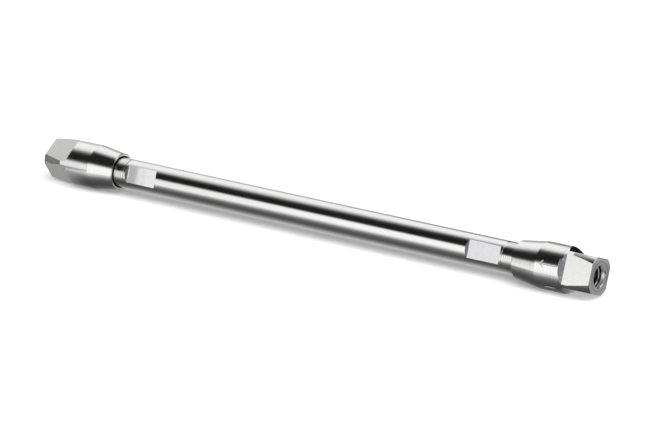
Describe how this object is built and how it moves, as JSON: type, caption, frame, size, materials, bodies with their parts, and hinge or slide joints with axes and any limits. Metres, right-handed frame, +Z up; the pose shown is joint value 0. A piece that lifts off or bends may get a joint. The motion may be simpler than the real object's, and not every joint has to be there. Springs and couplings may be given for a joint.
{
  "type": "hplc column",
  "caption": "Straight steel chromatography column tube with tapered end fittings, square wrench flats and threaded capillary ports.",
  "frame": {"origin": "middle of the column on its axis, half way between the two end faces", "axes": "+X along the axis towards the inlet port, +Z up as the column lies, -Y towards the front flats of the tube"},
  "size_m": [0.15, 0.0104, 0.0104],
  "materials": {
    "tube_steel": "turned and polished, milled flats near both ends",
    "fitting_steel": "fine turned, milled wrench flats",
    "sintered_steel": "sintered, dull and porous",
    "seal_plastic": "natural tan engineering plastic",
    "silica_packing": "densely packed white porous beads"
  },
  "bodies": {
    "root": {"column_tube": "tube_steel", "inlet_end_fitting": "fitting_steel", "outlet_end_fitting": "fitting_steel", "inlet_frit": "sintered_steel", "outlet_frit": "sintered_steel", "inlet_seal_ring": "seal_plastic", "outlet_seal_ring": "seal_plastic", "packed_bed": "silica_packing"}
  },
  "joints": []
}
